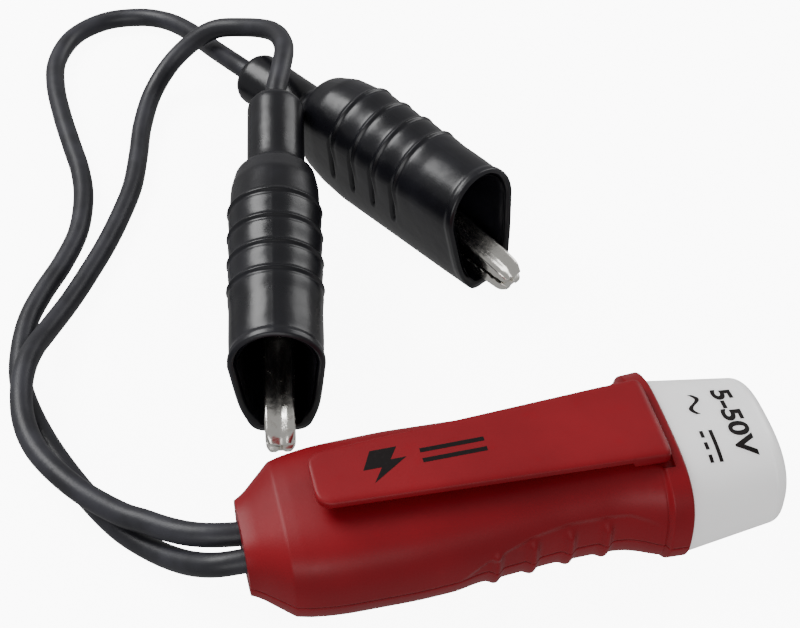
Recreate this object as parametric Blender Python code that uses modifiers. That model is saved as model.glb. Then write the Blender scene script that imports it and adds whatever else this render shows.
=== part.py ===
"""Low-voltage circuit test light: a hand-held tester with two clip leads.

The tester lies on its flat base. +X runs from the lead end to the lens, +Z out
of the pocket clip's face, and the object is symmetric about the XZ plane apart
from its leads. The origin is on the base, under the middle of the tester.
Lengths are given in millimetres and turned to metres by MM.
"""
import math

import bmesh
import bpy
import numpy as np
from mathutils import Matrix, Vector

MM = 0.001
GAP = 0.3            # clearance between neighbouring solids

# Tester body, measured from its rear face
BODY_LENGTH = 51.8   # rear face to the collar's end
LENS_LENGTH = 13.4   # lens showing beyond the collar
SEAM_Z = 6.0         # joint plane of the two shells
WALL = 1.4
REAR_HALF = 5.0      # half width at the rear face
REAR_TOP = 11.2
TAPER_LENGTH = 4.8   # rear face to the shoulder
SHOULDER_HALF = 8.9
SHOULDER_TOP = 13.9
BELLY_HALF = 10.5
BELLY_TOP = 14.6
WAIST_HALF = 9.2     # at the finger grips
WAIST_TOP = 14.8
COLLAR_HALF = 11.8
COLLAR_TOP = 16.0
COLLAR_LENGTH = 2.7
FLARE_LENGTH = 5.5   # waist to collar
BASE_TRIM = 0.38     # depth trimmed off the round underside for the flat base
TOP_POWER = 3.2      # superellipse powers of the two shells
BOTTOM_POWER = 2.7

# Finger grip ribs on each side
RIB_COUNT = 4
RIB_PITCH = 4.7
RIB_RADIUS = 1.0
RIB_STAND = 0.5      # how far a rib stands out of the side
RIB_LOW = 2.4
RIB_HIGH = 9.6
RIB_LAST = 9.2       # last rib's distance from the collar's end

# Lens
LENS_WALL = 1.3
LENS_SEAT = 2.2      # length inside the collar
COLLAR_WALL = 1.1
LENS_STEP = 0.7      # the showing part's inset from the collar's outside
LENS_END_HALF = 9.2
LENS_END_TOP = 13.8
LENS_END_LOW = 1.1
LENS_POWER = 2.7

# Pocket clip
CLIP_TIP_HALF = 3.9
CLIP_ROOT_HALF = 6.1
CLIP_THICK = 1.4
CLIP_UNDER = 16.0    # height of the plate's underside
CLIP_FOOT_LENGTH = 4.4
CLIP_FOOT_BACK = 1.6  # foot's distance from the collar's end
CLIP_REACH = 41.5    # root end to tip
CLIP_POCKET_Z = 15.0  # floor of the pocket that holds the foot

# Circuit board and what stands on it
BOARD_REAR = 12.5    # from the rear face
BOARD_LENGTH = 33.0
BOARD_HALF = 5.6
BOARD_THICK = 1.2
BOARD_Z = 5.4
TRANSISTOR_HEIGHT = BELLY_TOP - 10.2
POST_RADIUS = 1.0
POST_INSET = 4.0
LED_RADIUS = 1.5
LED_FLANGE = 1.9
LED_LENGTH = 5.2
LED_SIDE = 3.3

# Leads
LEAD_RADIUS = 1.5
LEAD_SIDE = LEAD_RADIUS + 0.5   # half the spacing of the two leads in the rear face
LEAD_Z = 7.0         # height at which they leave it
LEAD_INSIDE = 6.0    # insulated length inside the body
CORE_RADIUS = 0.5
LEAD_POINTS = 72

# Clip boot, in the clip's own frame: x from the barrel's rear rim to the mouth,
# z up from the plane of the underside
BOOT_LENGTH = 50.0
BOOT_WALL = 1.2
BARREL_RADIUS = 4.05
BARREL_LENGTH = 12.5
BARREL_Z = 8.4
BOOT_HALF = 6.1
BOOT_TOP = 18.8
MOUTH_TOP = 18.0
MOUTH_SLANT = 2.6    # how far the mouth's top edge is set back
BOOT_RIB_FIRST = 24.5
BOOT_RIB_PITCH = 4.2
BOOT_RIB_COUNT = 4
BOOT_RIB_STAND = 0.45

# Jaws, in the same frame
JAW_WALL = 0.45
PIVOT_X = 28.5
PIVOT_Z = 8.0
PIN_RADIUS = 0.8
EAR_HALF = 2.6
BOOT_TAPER = 1 - (EAR_HALF + 2.036) / BOOT_HALF   # share of the boot's half width lost towards the underside
UPPER_HALF = EAR_HALF - JAW_WALL - GAP
TIP_HALF = 1.95
CRIMP_HALF = 1.7
LEVER_HALF = 3.0
JAW_REACH = 4.6      # how far the jaws stand out of the mouth
SPRING_WIRE = 0.22
SPRING_TURNS = 3

# Rear face, boot length and lead radius that the places and routes below are given for
LAID_REAR_X = -32.6
LAID_BOOT_LENGTH = 50.0
LAID_LEAD_RADIUS = 1.5

# Where the two clips lie: barrel's rear point on the underside plane, heading, pitch
CLIP_POSES = {
    "a": ((-14.95, 70.9, 7.1), -100.6, 8.1),
    "b": ((-15.8, 85.8, 0.4), -59.2, 0.4),
}

# Route of each lead between its exit and its clip
ROUTES = {
    "a": [
        (-36.0, 2.7, 6.9), (-38.6, 3.9, 6.5), (-41.0, 5.6, 6.0), (-43.4, 7.6, 5.6), (-46.1, 9.8, 5.2),
        (-50.4, 14.4, 5.1), (-53.9, 19.7, 5.1), (-55.6, 24.0, 5.0), (-56.3, 28.4, 5.0), (-56.1, 32.9, 5.1),
        (-55.3, 36.8, 5.0), (-54.0, 40.4, 4.4), (-52.0, 44.6, 3.1), (-48.6, 50.7, 1.8), (-45.3, 56.2, 1.6),
        (-42.2, 61.6, 1.6), (-39.3, 67.6, 1.6), (-37.0, 73.3, 1.6), (-35.3, 80.0, 1.6), (-33.7, 87.0, 1.8),
        (-30.9, 93.8, 2.8), (-26.5, 97.4, 5.9), (-20.9, 97.1, 10.1), (-15.9, 93.7, 12.4), (-12.2, 88.4, 14.8),
        (-11.5, 82.4, 16.3), (-12.9, 77.0, 16.5),
    ],
    "b": [
        (-36.0, -1.2, 6.2), (-38.9, 1.0, 4.5), (-41.6, 3.9, 3.0), (-44.1, 7.0, 2.0), (-46.5, 10.2, 1.7),
        (-49.0, 14.6, 1.6), (-51.7, 20.3, 1.6), (-54.1, 26.6, 1.6), (-55.8, 33.0, 1.6), (-56.4, 38.2, 1.6),
        (-55.8, 43.6, 1.6), (-54.4, 48.9, 1.6), (-52.0, 53.7, 1.6), (-48.8, 58.9, 1.6), (-46.0, 64.9, 1.6),
        (-44.5, 71.9, 1.6), (-44.3, 78.2, 1.6), (-45.0, 85.1, 1.6), (-45.7, 92.3, 1.6), (-46.0, 100.1, 1.6),
        (-45.1, 106.7, 1.6), (-41.8, 112.6, 1.6), (-36.4, 115.6, 1.6), (-30.5, 115.1, 1.8), (-26.3, 112.0, 2.5),
        (-23.2, 106.4, 3.8), (-21.0, 100.0, 5.3), (-19.2, 93.8, 7.3),
    ],
}

REAR_X = -(BODY_LENGTH + LENS_LENGTH) / 2
COLLAR_X = REAR_X + BODY_LENGTH
LENS_X = COLLAR_X + LENS_LENGTH
JAW_TIP_X = BOOT_LENGTH + JAW_REACH


# ---------------------------------------------------------------- scene helpers

def clear_scene():
    for item in list(bpy.data.objects):
        bpy.data.objects.remove(item, do_unlink=True)


def new_collection(name):
    group = bpy.data.collections.new(name)
    bpy.context.scene.collection.children.link(group)
    return group


def make_material(name, color, roughness, metallic=0.0):
    material = bpy.data.materials.new(name)
    material.use_nodes = True
    shader = material.node_tree.nodes["Principled BSDF"]
    shader.inputs["Base Color"].default_value = (*color, 1.0)
    shader.inputs["Roughness"].default_value = roughness
    shader.inputs["Metallic"].default_value = metallic
    material.diffuse_color = (*color, 1.0)
    return material


def add_mesh(name, mesh, material, collection, parent=None):
    part = bpy.data.objects.new(name, mesh)
    collection.objects.link(part)
    part.parent = parent
    if material is not None:
        mesh.materials.clear()
        mesh.materials.append(material)
    return part


def mesh_of(bm, name):
    bmesh.ops.recalc_face_normals(bm, faces=bm.faces)
    mesh = bpy.data.meshes.new(name)
    bm.to_mesh(mesh)
    bm.free()
    return mesh


def smooth(part, angle=35.0):
    part.data.shade_smooth()
    part.data.set_sharp_from_angle(angle=math.radians(angle))


# ---------------------------------------------------------------- shapes

def loft_mesh(name, rings, closed_ends=True):
    """Join rings of equal point count, given in millimetres, into one skin."""
    bm = bmesh.new()
    loops = [[bm.verts.new(Vector(point) * MM) for point in ring] for ring in rings]
    count = len(loops[0])
    for near, far in zip(loops, loops[1:]):
        for i in range(count):
            j = (i + 1) % count
            bm.faces.new((near[i], near[j], far[j], far[i]))
    if closed_ends:
        bm.faces.new(loops[0])
        bm.faces.new(loops[-1])
    return mesh_of(bm, name)


def box_mesh(name, low, high):
    bm = bmesh.new()
    bmesh.ops.create_cube(bm, size=1.0)
    low, high = Vector(low) * MM, Vector(high) * MM
    size = high - low
    bmesh.ops.scale(bm, vec=size, verts=bm.verts)
    bmesh.ops.translate(bm, vec=(low + high) / 2, verts=bm.verts)
    return mesh_of(bm, name)


def rod_mesh(name, start, end, radius, sides=24):
    start, end = Vector(start) * MM, Vector(end) * MM
    bm = bmesh.new()
    turn = (end - start).to_track_quat("Z", "Y").to_matrix().to_4x4()
    place = Matrix.Translation((start + end) / 2) @ turn
    bmesh.ops.create_cone(bm, cap_ends=True, segments=sides, radius1=radius * MM,
                          radius2=radius * MM, depth=(end - start).length, matrix=place)
    return mesh_of(bm, name)


def turned(name, profile, material, collection, location, axis_turn, sides=24):
    """Turn a profile of (radius, height) pairs, top to bottom, about its own Z."""
    bm = bmesh.new()
    points = [bm.verts.new((radius * MM, 0, height * MM)) for radius, height in profile]
    for above, below in zip(points, points[1:]):
        bm.edges.new((above, below))
    mesh = bpy.data.meshes.new(name)
    bm.to_mesh(mesh)
    bm.free()
    part = add_mesh(name, mesh, material, collection)
    part.location = Vector(location) * MM
    part.rotation_euler = axis_turn
    screw = part.modifiers.new("turn", "SCREW")
    screw.steps = sides
    screw.render_steps = sides
    screw.use_merge_vertices = True
    screw.merge_threshold = 0.00001
    screw.use_smooth_shade = True
    return part


def wire(name, points, radius, material, collection, parent=None):
    """A round wire through millimetre points, with filled caps."""
    curve = bpy.data.curves.new(name, "CURVE")
    curve.dimensions = "3D"
    curve.bevel_depth = radius * MM
    curve.bevel_resolution = 2
    curve.render_resolution_u = 0
    curve.use_fill_caps = True
    spline = curve.splines.new("POLY")
    spline.points.add(len(points) - 1)
    for slot, point in zip(spline.points, points):
        slot.co = (*(Vector(point) * MM), 1.0)
    part = bpy.data.objects.new(name, curve)
    collection.objects.link(part)
    part.parent = parent
    curve.materials.append(material)
    return part


def flat_plate(name, outline, thickness, material, collection):
    """A flat 2D outline in the XY plane, extruded evenly about z = 0."""
    curve = bpy.data.curves.new(name, "CURVE")
    curve.dimensions = "2D"
    curve.fill_mode = "BOTH"
    curve.extrude = thickness / 2 * MM
    spline = curve.splines.new("POLY")
    spline.points.add(len(outline) - 1)
    for slot, (x, y) in zip(spline.points, outline):
        slot.co = (x * MM, y * MM, 0, 1.0)
    spline.use_cyclic_u = True
    part = bpy.data.objects.new(name, curve)
    collection.objects.link(part)
    curve.materials.append(material)
    return part


def boolean(part, tool, operation, name):
    """Cut or join a mesh with a tool that is kept, hidden, as a cutter."""
    tool.hide_render = True
    tool.display_type = "WIRE"
    change = part.modifiers.new(name, "BOOLEAN")
    change.operation = operation
    change.object = tool
    change.solver = "EXACT"


def cut_with(part, mesh, cutters, name, parent=None):
    tool = add_mesh(part.name + "_" + name, mesh, None, cutters, parent)
    boolean(part, tool, "DIFFERENCE", name)


def join_with(part, mesh, cutters, name):
    tool = add_mesh(part.name + "_" + name, mesh, None, cutters)
    boolean(part, tool, "UNION", name)


def superellipse(x, half, top, low, middle, top_power, low_power, count=44):
    """A ring in the plane x, with its own power above and below the middle height."""
    angle = np.linspace(0, 2 * np.pi, count, endpoint=False)
    power = np.where(np.sin(angle) >= 0, top_power, low_power)
    across = np.sign(np.cos(angle)) * np.abs(np.cos(angle)) ** (2 / power)
    rise = np.abs(np.sin(angle)) ** (2 / power)
    height = np.where(np.sin(angle) >= 0, middle + (top - middle) * rise, middle - (middle - low) * rise)
    return [(x, float(half * a), float(h)) for a, h in zip(across, height)]


# ---------------------------------------------------------------- tester body

def body_stations():
    """(x, half width, top, low) of the body's outside, from the rear face on."""
    shoulder = REAR_X + TAPER_LENGTH
    collar = COLLAR_X - COLLAR_LENGTH
    waist = collar - FLARE_LENGTH
    belly_start = shoulder + 0.22 * (waist - shoulder)
    belly_end = shoulder + 0.52 * (waist - shoulder)
    grip = shoulder + 0.80 * (waist - shoulder)
    mid_half = (REAR_HALF + SHOULDER_HALF) / 2 + 0.3
    return [
        (REAR_X, REAR_HALF, REAR_TOP, 2.6),
        (REAR_X + 0.3 * TAPER_LENGTH, mid_half - 0.5, REAR_TOP + 1.1, 1.5),
        (REAR_X + 0.6 * TAPER_LENGTH, mid_half + 0.7, SHOULDER_TOP - 0.7, 0.7),
        (shoulder, SHOULDER_HALF, SHOULDER_TOP, 0.0),
        (shoulder + 0.10 * (waist - shoulder), (SHOULDER_HALF + BELLY_HALF) / 2, BELLY_TOP - 0.3, -BASE_TRIM),
        (belly_start, BELLY_HALF - 0.3, BELLY_TOP, -BASE_TRIM),
        (belly_end, BELLY_HALF, BELLY_TOP, -BASE_TRIM),
        (grip, WAIST_HALF + 0.1, BELLY_TOP, -BASE_TRIM),
        (waist, WAIST_HALF, WAIST_TOP, -BASE_TRIM),
        (waist + 0.5 * FLARE_LENGTH, WAIST_HALF + 0.7, WAIST_TOP + 0.4, -BASE_TRIM),
        (collar, COLLAR_HALF - 0.7, COLLAR_TOP - 0.4, -BASE_TRIM),
        (collar + 0.25, COLLAR_HALF - 0.1, COLLAR_TOP, -BASE_TRIM),
        (COLLAR_X, COLLAR_HALF, COLLAR_TOP, -BASE_TRIM),
    ]


def half_width_at(x):
    stations = body_stations()
    return float(np.interp(x, [s[0] for s in stations], [s[1] for s in stations]))


def body_solid(name):
    rings = [superellipse(x, half, top, low, SEAM_Z, TOP_POWER, BOTTOM_POWER)
             for x, half, top, low in body_stations()]
    return loft_mesh(name, rings)


def cavity_solid(name):
    """The hollow inside both shells, wide enough at the collar for the lens's seat."""
    seat = COLLAR_X - LENS_SEAT - GAP
    rings = []
    for x, half, top, low in body_stations():
        if REAR_X + WALL < x < seat - 1.0:
            rings.append(superellipse(x, half - WALL, top - WALL, max(low, 0) + WALL, SEAM_Z,
                                      TOP_POWER, BOTTOM_POWER))
    first = rings[0]
    rear = [(REAR_X + WALL, y * 0.8, SEAM_Z + (z - SEAM_Z) * 0.8) for _, y, z in first]
    last = body_stations()[-1]
    opening = superellipse(seat, last[1] - COLLAR_WALL, last[2] - COLLAR_WALL, COLLAR_WALL, SEAM_Z,
                           TOP_POWER, BOTTOM_POWER)
    narrow = [(seat - 0.5, y, z) for _, y, z in rings[-1]]
    past = [(COLLAR_X + 2.0, y, z) for _, y, z in opening]
    return loft_mesh(name, [rear] + rings + [narrow, opening, past])


def add_ribs(part, cutters):
    """Upright ribs along both sides, each a rod sunk into the side."""
    for number in range(RIB_COUNT):
        x = COLLAR_X - RIB_LAST - number * RIB_PITCH
        side = half_width_at(x) - RIB_RADIUS + RIB_STAND
        for label, sign in (("near", -1), ("far", 1)):
            low, high = (x, sign * side, RIB_LOW), (x, sign * side, RIB_HIGH)
            join_with(part, rod_mesh("rib", low, high, RIB_RADIUS, 16), cutters, f"rib_{label}_{number}")


def lead_holes(part, cutters):
    for label, sign in (("a", 1), ("b", -1)):
        start = (REAR_X - 3.0, sign * LEAD_SIDE, LEAD_Z)
        end = (REAR_X + WALL + 4.0, sign * LEAD_SIDE, LEAD_Z)
        cut_with(part, rod_mesh("hole", start, end, LEAD_RADIUS + GAP), cutters, f"lead_hole_{label}")


def build_shells(parts, cutters, red, dark_red):
    wide = COLLAR_HALF + 10
    far_x = COLLAR_X + 10
    upper = add_mesh("upper_housing", body_solid("upper_housing"), red, parts)
    add_ribs(upper, cutters)
    cut_with(upper, cavity_solid("cavity"), cutters, "cavity")
    below = box_mesh("below", (REAR_X - 10, -wide, -10), (far_x, wide, SEAM_Z + GAP / 2))
    cut_with(upper, below, cutters, "below_seam")
    lead_holes(upper, cutters)
    root = COLLAR_X - CLIP_FOOT_BACK
    pocket = box_mesh("pocket", (root - CLIP_FOOT_LENGTH - GAP, -CLIP_ROOT_HALF - GAP, CLIP_POCKET_Z),
                      (root + GAP, CLIP_ROOT_HALF + GAP, COLLAR_TOP + 5))
    cut_with(upper, pocket, cutters, "clip_pocket")

    lower = add_mesh("lower_housing", body_solid("lower_housing"), dark_red, parts)
    add_ribs(lower, cutters)
    cut_with(lower, cavity_solid("cavity"), cutters, "cavity")
    above = box_mesh("above", (REAR_X - 10, -wide, SEAM_Z - GAP / 2), (far_x, wide, COLLAR_TOP + 10))
    cut_with(lower, above, cutters, "above_seam")
    lead_holes(lower, cutters)
    base = box_mesh("base", (REAR_X - 10, -wide, -10), (far_x, wide, 0))
    cut_with(lower, base, cutters, "base")
    for end, x in (("rear", REAR_X + BOARD_REAR + 3), ("front", REAR_X + BOARD_REAR + BOARD_LENGTH - 5)):
        for label, sign in (("near", -1), ("far", 1)):
            foot = (x, sign * POST_INSET, WALL / 2)
            head = (x, sign * POST_INSET, BOARD_Z - GAP)
            join_with(lower, rod_mesh("post", foot, head, POST_RADIUS, 16), cutters, f"post_{end}_{label}")
    return upper, lower


def build_lens(parts, cutters, milky):
    last = body_stations()[-1]
    seat_half = last[1] - COLLAR_WALL - GAP
    seat_top = last[2] - COLLAR_WALL - GAP
    seat_low = COLLAR_WALL + GAP
    show_half = last[1] - LENS_STEP
    show_top = last[2] - LENS_STEP
    show_low = 0.5
    span = LENS_X - COLLAR_X

    def outside(x, inset=0.0):
        share = (x - COLLAR_X) / span
        half = show_half + (LENS_END_HALF - show_half) * share - inset
        top = show_top + (LENS_END_TOP - show_top) * share - inset
        low = show_low + (LENS_END_LOW - show_low) * share + inset
        return superellipse(x, half, top, low, SEAM_Z, LENS_POWER, LENS_POWER)

    start = COLLAR_X - LENS_SEAT
    rings = [superellipse(x, seat_half, seat_top, seat_low, SEAM_Z, TOP_POWER, BOTTOM_POWER)
             for x in (start, COLLAR_X + GAP)]
    rings += [outside(COLLAR_X + GAP + 0.02)]
    rings += [outside(COLLAR_X + span * share) for share in (0.3, 0.6, 0.88)]
    rings += [outside(LENS_X - 0.8, 0.25), outside(LENS_X - 0.25, 0.8), outside(LENS_X, 1.7)]
    lens = add_mesh("lens", loft_mesh("lens", rings), milky, parts)
    hollow = [superellipse(x, seat_half - LENS_WALL, seat_top - LENS_WALL, seat_low + LENS_WALL, SEAM_Z,
                           TOP_POWER, BOTTOM_POWER) for x in (start - 1, COLLAR_X + 0.5)]
    hollow += [outside(x, LENS_WALL + 0.3) for x in (COLLAR_X + 0.4 * span, LENS_X - 2.6)]
    hollow += [outside(LENS_X - LENS_WALL, LENS_WALL + 1.6)]
    cut_with(lens, loft_mesh("hollow", hollow), cutters, "hollow")
    smooth(lens)
    return lens


def build_pocket_clip(parts, red):
    """A tapered plate with a foot at its root, with its origin on the line it flexes about."""
    root = COLLAR_X - CLIP_FOOT_BACK
    foot = root - CLIP_FOOT_LENGTH
    tip = root - CLIP_REACH
    top = CLIP_UNDER + CLIP_THICK
    foot_low = CLIP_POCKET_Z + GAP
    pivot = Vector((root, 0, foot_low))

    def ring(x, half, low, high):
        soft = min(0.45, (high - low) * 0.3)
        corners = [(-half, low), (half, low), (half, high - soft), (half - soft, high),
                   (-half + soft, high), (-half, high - soft)]
        return [(x - pivot.x, y, z - pivot.z) for y, z in corners]

    def half_at(x):
        return CLIP_TIP_HALF + (CLIP_ROOT_HALF - CLIP_TIP_HALF) * (x - tip) / CLIP_REACH

    rings = [
        ring(tip, half_at(tip) - 1.7, CLIP_UNDER + 0.4, top - 0.3),
        ring(tip + 0.35, half_at(tip) - 0.8, CLIP_UNDER, top - 0.1),
        ring(tip + 1.1, half_at(tip) - 0.2, CLIP_UNDER, top),
        ring(tip + 2.2, half_at(tip + 2.2), CLIP_UNDER, top),
        ring(foot - 0.6, half_at(foot), CLIP_UNDER, top),
        ring(foot, half_at(foot), CLIP_UNDER - 0.4, top),
        ring(foot + 0.05, half_at(foot), foot_low, top),
        ring(root - 1.0, half_at(root) - 0.1, foot_low, top),
        ring(root - 0.3, half_at(root) - 0.5, foot_low, top - 0.35),
        ring(root, half_at(root) - 1.0, foot_low, top - 0.9),
    ]
    clip = add_mesh("pocket_clip", loft_mesh("pocket_clip", rings), red, parts)
    clip.location = pivot * MM
    return clip


# ---------------------------------------------------------------- electronics

def build_electronics(parts, cutters, finishes):
    board_x = REAR_X + BOARD_REAR
    low = (board_x, -BOARD_HALF, BOARD_Z)
    high = (board_x + BOARD_LENGTH, BOARD_HALF, BOARD_Z + BOARD_THICK)
    add_mesh("circuit_board", box_mesh("circuit_board", low, high), finishes["board"], parts)
    top = BOARD_Z + BOARD_THICK + GAP
    middle = board_x + BOARD_LENGTH * 0.32

    low, high = (middle - 3.0, -2.3, top), (middle + 3.0, 2.3, top + 2.4)
    add_mesh("bridge_rectifier", box_mesh("bridge_rectifier", low, high), finishes["epoxy"], parts)

    angles = np.linspace(-0.75 * np.pi, 0.75 * np.pi, 14)
    outline = [(2.2 * math.cos(a), 2.2 * math.sin(a)) for a in angles]
    transistor = flat_plate("regulator_transistor", outline, TRANSISTOR_HEIGHT, finishes["epoxy"], parts)
    transistor.location = Vector((middle + 7.0, 0, top + TRANSISTOR_HEIGHT / 2)) * MM

    body = [(0.0, 3.9), (0.3, 3.9), (0.3, 3.1), (1.0, 3.1), (1.15, 2.7), (1.15, 1.9), (0.95, 1.6),
            (0.95, -1.6), (1.15, -1.9), (1.15, -2.7), (1.0, -3.1), (0.3, -3.1), (0.3, -3.9), (0.0, -3.9)]
    for number, sign in ((1, 1), (2, -1)):
        turned(f"resistor_{number}", body, finishes["resistor"], parts,
               (middle + 7.4, sign * 4.0, top + 1.15), (0, math.radians(90), 0), 16)

    dome = [(0.0, LED_LENGTH)]
    dome += [(LED_RADIUS * math.sin(a), LED_LENGTH - LED_RADIUS * (1 - math.cos(a)))
             for a in np.radians((25, 50, 75, 90))]
    dome += [(LED_RADIUS, 1.0), (LED_FLANGE, 1.0), (LED_FLANGE, 0.0), (0.0, 0.0)]
    led_x = board_x + BOARD_LENGTH - LED_LENGTH - 0.5
    for number, sign in ((1, 1), (2, -1)):
        turned(f"led_{number}", dome, finishes[f"led_{number}"], parts,
               (led_x, sign * LED_SIDE, top + LED_FLANGE), (0, math.radians(90), 0), 20)

    rise = top + CORE_RADIUS
    for label, sign in (("a", 1), ("b", -1)):
        side = sign * LEAD_SIDE
        start = REAR_X + LEAD_INSIDE + GAP
        points = [(start, side, LEAD_Z), (start + 1.5, side, LEAD_Z), (board_x - 1.8, side, rise - 0.1),
                  (board_x - 0.4, side, rise), (board_x + 3.0, side, rise)]
        wire(f"board_wire_{label}", points, CORE_RADIUS, finishes["copper"], parts)


# ---------------------------------------------------------------- leads

def smooth_route(points, count):
    """Points evenly spaced along a Catmull-Rom curve through the given ones."""
    points = np.array(points, float)
    padded = np.vstack([2 * points[0] - points[1], points, 2 * points[-1] - points[-2]])
    t = np.linspace(0, 1, 40, endpoint=False)[:, None]
    dense = []
    for p0, p1, p2, p3 in zip(padded, padded[1:], padded[2:], padded[3:]):
        dense.append(0.5 * (2 * p1 + (p2 - p0) * t + (2 * p0 - 5 * p1 + 4 * p2 - p3) * t ** 2
                            + (3 * p1 - p0 - 3 * p2 + p3) * t ** 3))
    dense = np.vstack(dense + [points[-1:]])
    travel = np.concatenate([[0], np.cumsum(np.linalg.norm(np.diff(dense, axis=0), axis=1))])
    even = np.linspace(0, travel[-1], count)
    return np.column_stack([np.interp(even, travel, dense[:, k]) for k in range(3)])


def clip_turn(label):
    heading, pitch = CLIP_POSES[label][1:]
    return Matrix.Rotation(math.radians(heading), 4, "Z") @ Matrix.Rotation(math.radians(pitch), 4, "Y")


def clip_shift(label):
    """How far a clip moves away from the body, and up its slope, for a longer boot."""
    longer = BOOT_LENGTH - LAID_BOOT_LENGTH
    return Vector((0, longer, longer * math.sin(math.radians(CLIP_POSES[label][2]))))


def clip_place(label):
    return Vector(CLIP_POSES[label][0]) + clip_shift(label) + Vector((REAR_X - LAID_REAR_X, 0, 0))


def clip_matrix(label):
    return Matrix.Translation(clip_place(label)) @ clip_turn(label)


def laid_route(label):
    """The route's points, moved with the rear face and the clip, and lifted for a thicker lead."""
    points = np.array(ROUTES[label])
    share = np.linspace(0, 1, len(points))[:, None]
    points += np.clip(2 * share - 1, 0, 1) * np.array(clip_shift(label))
    points[:, 0] += REAR_X - LAID_REAR_X
    lift = np.clip(14 * share * (1 - share), 0, 1)
    points[:, 2:] *= 1 + (LEAD_RADIUS / LAID_LEAD_RADIUS - 1) * lift
    return [tuple(point) for point in points]


def build_lead(label, sign, parts, black):
    """From inside the body, out of the rear face, along the table and into the boot's barrel."""
    side = sign * LEAD_SIDE
    inside = [(REAR_X + LEAD_INSIDE, side, LEAD_Z), (REAR_X + LEAD_INSIDE / 2, side, LEAD_Z),
              (REAR_X, side, LEAD_Z)]
    matrix = clip_matrix(label)
    barrel = [tuple(matrix @ Vector((x, 0, BARREL_Z))) for x in (-2.5, 1.5, 6.0, BARREL_LENGTH)]
    route = smooth_route(inside + laid_route(label) + barrel, LEAD_POINTS)
    wire(f"lead_{label}", [tuple(p) for p in route], LEAD_RADIUS, black, parts)


# ---------------------------------------------------------------- clips

def arch(x, half, top, low, power, taper, slant=0.0, count=28):
    """A round arch over sides that narrow to a softly squared underside."""
    angle = np.linspace(0, 2 * np.pi, count, endpoint=False)
    up = np.sin(angle) >= 0
    centre = top - half
    depth = np.where(up, 0.0, np.abs(np.sin(angle)) ** (2 / power))
    across = np.where(up, np.cos(angle),
                      np.sign(np.cos(angle)) * np.abs(np.cos(angle)) ** (2 / power) * (1 - taper * depth))
    height = np.where(up, centre + half * np.sin(angle), centre - (centre - low) * depth)
    back = slant * (height - low) / (top - low)
    return [(float(x - b), float(half * a), float(h)) for a, h, b in zip(across, height, back)]


def boot_stations():
    """(x, half width, top, low, power, taper, slant) from the barrel's rim to the mouth."""
    top, low = BARREL_Z + BARREL_RADIUS, BARREL_Z - BARREL_RADIUS
    stations = [
        (0.0, BARREL_RADIUS - 0.5, top - 0.5, low + 0.5, 2, 0, 0),
        (0.7, BARREL_RADIUS, top, low, 2, 0, 0),
        (BARREL_LENGTH, BARREL_RADIUS, top, low, 2, 0, 0),
        (BARREL_LENGTH + 1.2, BARREL_RADIUS + 0.3, top + 1.3, low - 0.7, 2.4, BOOT_TAPER * 0.3, 0),
        (BARREL_LENGTH + 3.6, BOOT_HALF - 0.5, BOOT_TOP - 2.4, 1.5, 3.2, BOOT_TAPER * 0.7, 0),
        (BARREL_LENGTH + 7.0, BOOT_HALF - 0.1, BOOT_TOP - 0.7, 0.4, 4.2, BOOT_TAPER, 0),
    ]
    for number in range(BOOT_RIB_COUNT):
        x = BOOT_RIB_FIRST + number * BOOT_RIB_PITCH
        for offset, stand in ((-1.5, 0.0), (-0.5, BOOT_RIB_STAND), (0.5, BOOT_RIB_STAND), (1.0, 0.0)):
            stations.append((x + offset, BOOT_HALF + stand, BOOT_TOP + stand, 0.0, 5, BOOT_TAPER, 0))
    stations.append((BOOT_LENGTH - 5.0, BOOT_HALF, MOUTH_TOP + 0.2, 0.0, 5, BOOT_TAPER, MOUTH_SLANT * 0.4))
    stations.append((BOOT_LENGTH, BOOT_HALF - 0.1, MOUTH_TOP, 0.0, 5, BOOT_TAPER, MOUTH_SLANT))
    return stations


def build_boot(label, parts, frame, black):
    rings = [arch(*station) for station in boot_stations()]
    boot = add_mesh(f"boot_{label}", loft_mesh("boot", rings, closed_ends=False), black, parts, frame)
    shell = boot.modifiers.new("wall", "SOLIDIFY")
    shell.thickness = BOOT_WALL * MM
    shell.offset = -1.0
    smooth(boot, 50)
    return boot


def channel(x, half, floor, rim, up, thickness=JAW_WALL):
    """A U section, open upwards when up is 1 and downwards when up is -1."""
    back, edge = (floor, rim) if up == 1 else (rim, floor)
    inner = back + up * thickness
    outline = [(-half, back), (half, back), (half, edge), (half - thickness, edge),
               (half - thickness, inner), (-half + thickness, inner), (-half + thickness, edge), (-half, edge)]
    return [(x, y, z) for y, z in outline]


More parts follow.
